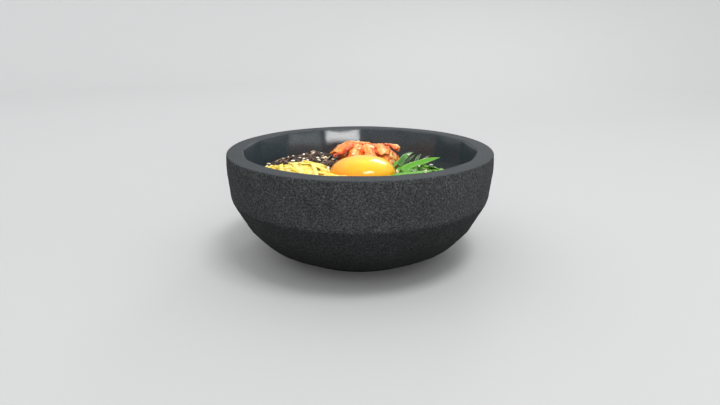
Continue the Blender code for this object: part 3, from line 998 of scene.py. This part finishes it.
def leaf_sheets(name, spines, ups, rng, width, curl, material, replaced):
    """Pieces of cabbage leaf, each a sheet curled over its spine, thick at the rib and frilled
    at the edges."""
    count = len(spines)
    mesh, points = copies(name, slab(22, 16), count)
    some = each_own(rng, count)
    along, across, face = points.T[:, None]
    half = np.reshape(width, (-1, 1)) / 2
    rib_place = some(-0.4, 0.4)
    rib = np.exp(-(((across - rib_place) / 0.38) ** 2)) * (1 - 0.45 * along)
    spaced = across + 0.22 * np.sin(some(0, 6) + 3.5 * across)
    lines = some(10, 14) * spaced * (1 + 0.35 * along) + some(0, 6)
    ridges = 0.5 + 0.5 * np.cos(lines + 0.7 * np.sin(some(0, 6) + 4 * along))
    thickness = (0.6 + 1.3 * rib) * MM
    bend = np.reshape(curl, (-1, 1)) * (1 + 0.35 * np.sin(some(0, 6) + some(2, 5) * along))
    wide = half * (1 - 0.4 * np.abs(2 * along - 1) ** 5)
    wide = wide * (1 + 0.14 * np.sin(some(0, 6) + some(5, 9) * along))
    side = wide * np.sin(bend * across) / bend
    rise = wide * (np.cos(bend * across) - 1) / bend
    thin = np.abs(across) ** 2.5 * (1 - rib)
    frill = thin * np.sin(some(0, 6) + some(5, 10) * along)
    offset = face * thickness / 2 + (0.8 * frill + 0.75 * (ridges - 0.5)) * MM
    side = side + np.sin(bend * across) * offset
    rise = rise + np.cos(bend * across) * offset
    sweep(mesh, points[:, 0], spines, ups, side, rise)
    mark(mesh, "rib", 0.5 * rib + 0.5 * ridges)
    mark(mesh, "edge", thin)
    roughen(mesh, 0.8 * MM, 8 * MM, 4)
    roughen(mesh, 1.1 * MM, 3.6 * MM, 8, 0.3 + 0.7 * (1 - rib).ravel())
    put(mesh, beside_the_yolk(places(mesh), 0.5 * MM))
    new_piece(name, mesh, material, replaced)


def kimchi(material):
    """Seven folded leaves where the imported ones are, over many smaller pieces."""
    rng = np.random.default_rng(41)
    core("kimchi", "kimchi_heap", 2.6 * MM, material)
    segments = 14
    packed = [f"kimchi_leaf_{number}" for number in range(1, 7)] + ["kimchi_tip"]
    for number, node in enumerate(packed, 1):
        spine, up, half = centreline(node, segments)
        spine = (spine + up * (half[2] - 0.9 * MM))[None]
        name, width = f"kimchi_fold_{number}", 2.35 * half[1]
        leaf_sheets(name, spine, up[None], rng, width, 0.7, material, [node])
    count = 80
    tangle = {"length": (14 * MM, 24 * MM), "heading": from_the_yolk(0.9), "curl": 0.04, "loose": 0}
    tangle |= {"lift": (-1.6 * MM, 0.4 * MM), "wave": 0.4 * MM, "spring": 1.2 * MM}
    tangle |= {"margin": 1 * MM, "easing": 3}
    spines, ups = lay("kimchi_heap", rng, count, segments, **tangle)
    width = rng.uniform(9 * MM, 15 * MM, count)
    curl = rng.uniform(0.5, 1.1, count)
    leaf_sheets("kimchi_leaves", spines, ups, rng, width, curl, material, ["kimchi_heap"])


def blades(name, template, spines, ups, rng, width, tint, material, replaced=()):
    """Cut green leaves: a shallow channel down the middle, and a slanted tip. Those that replace a
    blade of their own twist less."""
    count = len(spines)
    mesh, points = copies(name, template, count)
    some = each_own(rng, count)
    along, across, face = points.T[:, None]
    half = np.reshape(width, (-1, 1)) / 2
    slant = some(0.5, 0.9) * np.sign(some(-1, 1))
    start = some(0.4, 0.7)
    tip = np.clip((along - start) / (1 - start), 0, 1)
    foot = np.clip((0.08 - along) / 0.08, 0, 1)
    half_here = half * (1 - 0.95 * tip**1.5) * (1 - 0.25 * foot)
    shift = half * slant * tip**2 * 0.8
    channel = some(0.1, 0.34)
    side = across * half_here + shift
    rise = np.abs(across) * half_here * channel + face * (0.28 - 0.13 * np.abs(across)) * MM
    turn = rng.normal(0, 0.3, (count, 1)) + rng.normal(0, 0.35, (count, 1)) * (along - 0.5)
    if replaced:
        turn = turn * 0.3
    side, rise = turned_by(side, rise, turn)
    sweep(mesh, points[:, 0], spines, ups, side, rise)
    mark_strands(mesh, points, tint, rng)
    roughen(mesh, 0.25 * MM, 5 * MM, 5)
    new_piece(name, mesh, material, replaced)


def rooted(spine, reach):
    """The same line, carried on at its near end so far down into the heap."""
    way = unit(spine[0] - spine[3]) - np.array((0, 0, 0.25))
    longer = np.concatenate([spine[:1] + reach * way, spine])
    share = np.linspace(0, 1, len(spine))
    gone = np.cumsum(np.r_[0, np.linalg.norm(np.diff(longer, axis=0), axis=1)])
    return np.array([np.interp(share * gone[-1], gone, line) for line in longer.T]).T


def greens(material):
    """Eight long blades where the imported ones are, over many loose ones."""
    rng = np.random.default_rng(51)
    core("greens", "greens", 2.4 * MM, material, drop=1.8 * MM)
    segments = 12
    # Each named blade's tint is partly its own shade of green and partly painted light and shade,
    # lighter or darker as that blade is lit
    for number, tint in enumerate((0.45, 0.95, 0.3, 0.7, 1.0, 0.85, 0.25, 0.1), 1):
        node = f"green_blade_{number}"
        spine, up, half = centreline(node, segments)
        line = kept_clear(rooted(spine, 8 * MM), 1 * MM)[None]
        name, width = f"green_leaf_{number}", 1.25 * half[1]
        blades(name, slab(14, 8), line, up[None], rng, width, tint, material, [node])
    count = 220
    tangle = {"length": (18 * MM, 38 * MM), "heading": from_the_yolk(0.75), "curl": 0.05}
    tangle |= {"lift": (-3.4 * MM, 0.2 * MM), "wave": 0.5 * MM, "spring": 3 * MM}
    tangle |= {"margin": 0.8 * MM, "easing": 3}
    spines, ups = lay("greens", rng, count, segments, **tangle)
    width = rng.uniform(2.4 * MM, 5.4 * MM, count)
    blades("green_leaves", slab(9, 3), spines, ups, rng, width, rng.random(count), material)


def sesame(material, pieces):
    """Toasted seeds scattered over the toppings, where these lie flat enough to hold them."""
    rng = np.random.default_rng(61)
    surface = one_surface([piece.data for piece in pieces])
    found = []
    seeds = {"seasoned_beef": 44, "kimchi_heap": 12, "greens": 34, "omelette_strips": 6}
    for node, count in seeds.items():
        for start in spots(node, count, rng, 0.35):
            landed = drop_on(surface, start[0], start[1])
            if landed and landed[1].z > 0.6:
                found.append(landed)
    count = len(found)
    mesh, points = copies("sesame_seeds", ball(8, 6, 1), count)
    points = points[:, [2, 0, 1]]
    points[:, 1:] *= 1 - 0.3 * points[:, :1]
    points = points * SEED_SIZE
    moved = []
    for spot, normal in found:
        lean = (normal + Vector((0, 0, 1.2))).normalized()
        turn = Matrix.Rotation(rng.uniform(0, math.tau), 3, "Z")
        tilt = Matrix.Rotation(rng.normal(0, 0.25), 3, "Y")
        turned = np.array(lean.to_track_quat("Z", "X").to_matrix() @ turn @ tilt)
        moved.append(rng.uniform(0.88, 1.1) * points @ turned.T + np.array(spot + lean * 0.3 * MM))
    put(mesh, np.concatenate(moved))
    mark(mesh, "tint", np.repeat(rng.random(count), len(points)))
    new_piece("sesame_seeds", mesh, material)


# ---- stage


def sky_and_lights(scene):
    """A pale overcast dome and four softboxes: the main one overhead on the right, one behind on
    the right for the gloss on the toppings, and two faint narrow ones low in front and at the side,
    whose reflections lie on the bowl's inner wall."""
    world = bpy.data.worlds.new("studio")
    world.use_nodes = True
    sky = world.node_tree.nodes["Background"]
    sky.inputs["Color"].default_value = srgb("F6F7F8")
    sky.inputs["Strength"].default_value = 1.24
    scene.world = world
    for name, place, size, spread, power in (
        ("overhead_softbox", (0.42, -0.45, 1.93), (0.74, 0.54), 180, 18.5),
        ("back_softbox", (0.50, 1.65, 0.99), (0.48, 0.42), 180, 3.8),
        ("low_softbox", (0.57, -1.60, 0.36), (0.48, 0.30), 40, 0.44),
        ("side_softbox", (1.61, -0.69, 0.35), (0.80, 0.36), 40, 0.073),
    ):
        light = bpy.data.lights.new(name, "AREA")
        light.shape = "RECTANGLE"
        light.size, light.size_y = size
        light.spread = math.radians(spread)
        light.energy = power
        lamp = new_object(name, light)
        lamp.location = place
        lamp.rotation_euler = (Vector(place) - AIM).to_track_quat("Z", "Y").to_euler()


def stage():
    """A seamless pale backdrop, the lights and the camera."""
    profile = [(0, 0)]
    for turn in np.linspace(0, math.pi / 2, 25):
        radius = BACKDROP_FLAT + BACKDROP_BEND * math.sin(turn)
        profile.append((radius, BACKDROP_BEND * (1 - math.cos(turn))))
    profile.append((BACKDROP_FLAT + BACKDROP_BEND, BACKDROP_TOP))
    mesh = mesh_from("backdrop", spun(profile, 96))
    mesh.materials.append(backdrop_paint())
    mesh.shade_smooth()
    new_object("backdrop", mesh)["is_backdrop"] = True

    scene = bpy.context.scene
    sky_and_lights(scene)
    scene.view_settings.view_transform = "Standard"

    camera = new_object("camera", bpy.data.cameras.new("camera"))
    camera.data.lens = LENS
    camera.location = CAMERA_PLACE
    camera.rotation_euler = (CAMERA_TILT, 0, 0)
    scene.camera = camera


def build():
    stage()
    stone_bowl(pecked_stone(), honed_stone())
    rice(steamed_rice())
    egg_yolk(raw_yolk())
    omelette(fried_egg_strip())
    beef(browned_beef())
    kimchi(kimchi_leaf_skin())
    greens(green_leaf())
    toppings = [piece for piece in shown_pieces() if piece.name != "bowl"]
    sesame(toasted_sesame(), toppings)


build()

boxes = {"cad": CAD_BOX, "visual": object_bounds()}
{name: [list(corner) for corner in box] for name, box in boxes.items()}
